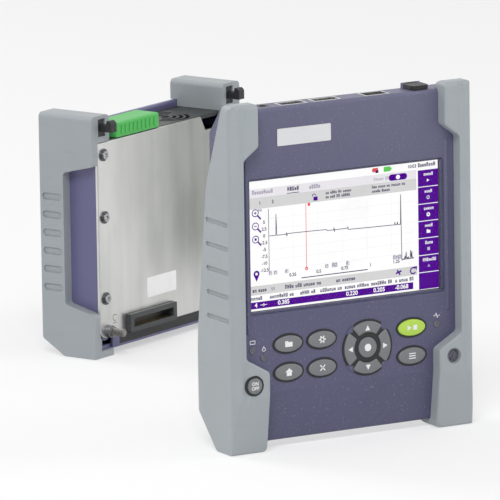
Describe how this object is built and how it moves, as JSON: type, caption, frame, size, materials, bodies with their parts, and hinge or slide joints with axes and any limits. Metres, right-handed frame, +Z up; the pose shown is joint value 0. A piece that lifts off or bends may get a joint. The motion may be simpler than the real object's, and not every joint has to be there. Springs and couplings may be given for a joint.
{
  "type": "optical time domain reflectometer",
  "caption": "Handheld optical fibre tester with touch screen, keys and rubber bumpers, and its detached test module with docking hooks, connector and hinged port hood.",
  "frame": {"origin": "centre of the bottom of the pair's box, on the table", "axes": "+X to the right seen from the base unit's front, -Y out of the base unit's screen, +Z up"},
  "size_m": [0.1738, 0.3317, 0.175],
  "materials": {
    "slate_plastic": "fine texture",
    "violet_plastic": "satin",
    "grey_rubber": "matte",
    "black_rubber": "matte",
    "black_plastic": "satin",
    "dark_panel": "satin",
    "screen_glass": "clear",
    "panel_metal": "satin",
    "plate_silver": "satin",
    "satin_metal": "satin",
    "socket_metal": "satin",
    "screw_steel": "satin",
    "dark_steel": "satin",
    "brass": "turned",
    "key_grey": "satin",
    "start_green": "satin",
    "lens_clear": "gloss",
    "board_green": "satin",
    "label_white": "satin",
    "green_plastic": "satin",
    "adapter_blue": "satin",
    "ceramic_white": "gloss"
  },
  "bodies": {
    "body": {"adapter_sleeves": "ceramic_white", "battery_pack": "black_plastic", "blank_label": "label_white", "case_screws": "screw_steel", "display_gasket": "black_rubber", "display_panel": "panel_metal", "dock_inserts": "brass", "dock_socket": "black_plastic", "fan_frame": "black_plastic", "front_case": "slate_plastic", "hood_pin": "screw_steel", "key_bezels": "black_plastic", "key_mat": "black_rubber", "left_bumper": "grey_rubber", "main_board": "board_green", "microphone_mesh": "black_plastic", "module_board": "board_green", "module_connector": "black_plastic", "module_gasket": "black_rubber", "module_hooks": "black_plastic", "module_left_bumper": "grey_rubber", "module_plate": "satin_metal", "module_right_bumper": "grey_rubber", "module_shell": "violet_plastic", "module_top_panel": "dark_panel", "name_plate": "plate_silver", "network_socket": "socket_metal", "optical_adapters": "adapter_blue", "optics_block": "socket_metal", "plate_screws": "screw_steel", "plate_washers": "screw_steel", "rear_case": "slate_plastic", "right_bumper": "grey_rubber", "round_sockets": "black_plastic", "screw_bushes": "black_plastic", "status_lenses": "lens_clear", "touch_glass": "screen_glass", "usb_sockets": "socket_metal"},
    "key_arrow_down body": {"key_arrow_down": "key_grey"},
    "key_arrow_left body": {"key_arrow_left": "key_grey"},
    "key_arrow_right body": {"key_arrow_right": "key_grey"},
    "key_arrow_up body": {"key_arrow_up": "key_grey"},
    "key_centre body": {"key_centre": "key_grey"},
    "key_lower_left body": {"key_lower_left": "key_grey"},
    "key_lower_middle body": {"key_lower_middle": "key_grey"},
    "key_lower_right body": {"key_lower_right": "key_grey"},
    "key_power body": {"key_power": "key_grey"},
    "key_start body": {"key_start": "start_green"},
    "key_upper_left body": {"key_upper_left": "key_grey"},
    "key_upper_middle body": {"key_upper_middle": "key_grey"},
    "battery_door body": {"battery_door": "slate_plastic"},
    "charging_flap body": {"charging_flap": "black_rubber"},
    "captive_screw_left body": {"captive_screw_left": "dark_steel"},
    "captive_screw_right body": {"captive_screw_right": "dark_steel"},
    "port_hood body": {"port_hood": "green_plastic"},
    "fan_rotor body": {"fan_rotor": "black_plastic"}
  },
  "joints": [
    {"name": "press_arrow_down", "type": "slide", "parent": "body", "child": "key_arrow_down body", "axis": [0, 1, 0], "range_m": [0, 0.0008], "stiffness_N_per_m": 800, "springref_m": -0.0006},
    {"name": "press_arrow_left", "type": "slide", "parent": "body", "child": "key_arrow_left body", "axis": [0, 1, 0], "range_m": [0, 0.0008], "stiffness_N_per_m": 800, "springref_m": -0.0006},
    {"name": "press_arrow_right", "type": "slide", "parent": "body", "child": "key_arrow_right body", "axis": [0, 1, 0], "range_m": [0, 0.0008], "stiffness_N_per_m": 800, "springref_m": -0.0006},
    {"name": "press_arrow_up", "type": "slide", "parent": "body", "child": "key_arrow_up body", "axis": [0, 1, 0], "range_m": [0, 0.0008], "stiffness_N_per_m": 800, "springref_m": -0.0006},
    {"name": "press_centre", "type": "slide", "parent": "body", "child": "key_centre body", "axis": [0, 1, 0], "range_m": [0, 0.0008], "stiffness_N_per_m": 800, "springref_m": -0.0006},
    {"name": "press_lower_left", "type": "slide", "parent": "body", "child": "key_lower_left body", "axis": [0, 1, 0], "range_m": [0, 0.0008], "stiffness_N_per_m": 800, "springref_m": -0.0006},
    {"name": "press_lower_middle", "type": "slide", "parent": "body", "child": "key_lower_middle body", "axis": [0, 1, 0], "range_m": [0, 0.0008], "stiffness_N_per_m": 800, "springref_m": -0.0006},
    {"name": "press_lower_right", "type": "slide", "parent": "body", "child": "key_lower_right body", "axis": [0, 1, 0], "range_m": [0, 0.0008], "stiffness_N_per_m": 800, "springref_m": -0.0006},
    {"name": "press_power", "type": "slide", "parent": "body", "child": "key_power body", "axis": [0, 1, 0], "range_m": [0, 0.0008], "stiffness_N_per_m": 800, "springref_m": -0.0006},
    {"name": "press_start", "type": "slide", "parent": "body", "child": "key_start body", "axis": [0, 1, 0], "range_m": [0, 0.0008], "stiffness_N_per_m": 800, "springref_m": -0.0006},
    {"name": "press_upper_left", "type": "slide", "parent": "body", "child": "key_upper_left body", "axis": [0, 1, 0], "range_m": [0, 0.0008], "stiffness_N_per_m": 800, "springref_m": -0.0006},
    {"name": "press_upper_middle", "type": "slide", "parent": "body", "child": "key_upper_middle body", "axis": [0, 1, 0], "range_m": [0, 0.0008], "stiffness_N_per_m": 800, "springref_m": -0.0006},
    {"name": "battery door lifts off", "type": "slide", "parent": "body", "child": "battery_door body", "axis": [0, 1, 0], "range_m": [0, 0.03]},
    {"name": "charging flap hinge", "type": "hinge", "parent": "body", "child": "charging_flap body", "pos_m": [0.02609, -0.14675, 0.1725], "axis": [-1, 0, 0], "range_deg": [0, 110]},
    {"name": "port hood hinge", "type": "hinge", "parent": "body", "child": "port_hood body", "pos_m": [-0.00235, 0.113, 0.1157], "axis": [-0.9063, -0.4226, 0], "range_deg": [0, 100]},
    {"name": "captive screw left slide", "type": "slide", "parent": "body", "child": "captive_screw_left body", "axis": [-0.4226, 0.9063, 0], "range_m": [0, 0.008]},
    {"name": "captive screw right slide", "type": "slide", "parent": "body", "child": "captive_screw_right body", "axis": [-0.4226, 0.9063, 0], "range_m": [0, 0.008]},
    {"name": "fan spin", "type": "hinge", "parent": "body", "child": "fan_rotor body", "pos_m": [0.03936, 0.13002, 0.1087], "axis": [0, 0, 1], "continuous": true}
  ]
}
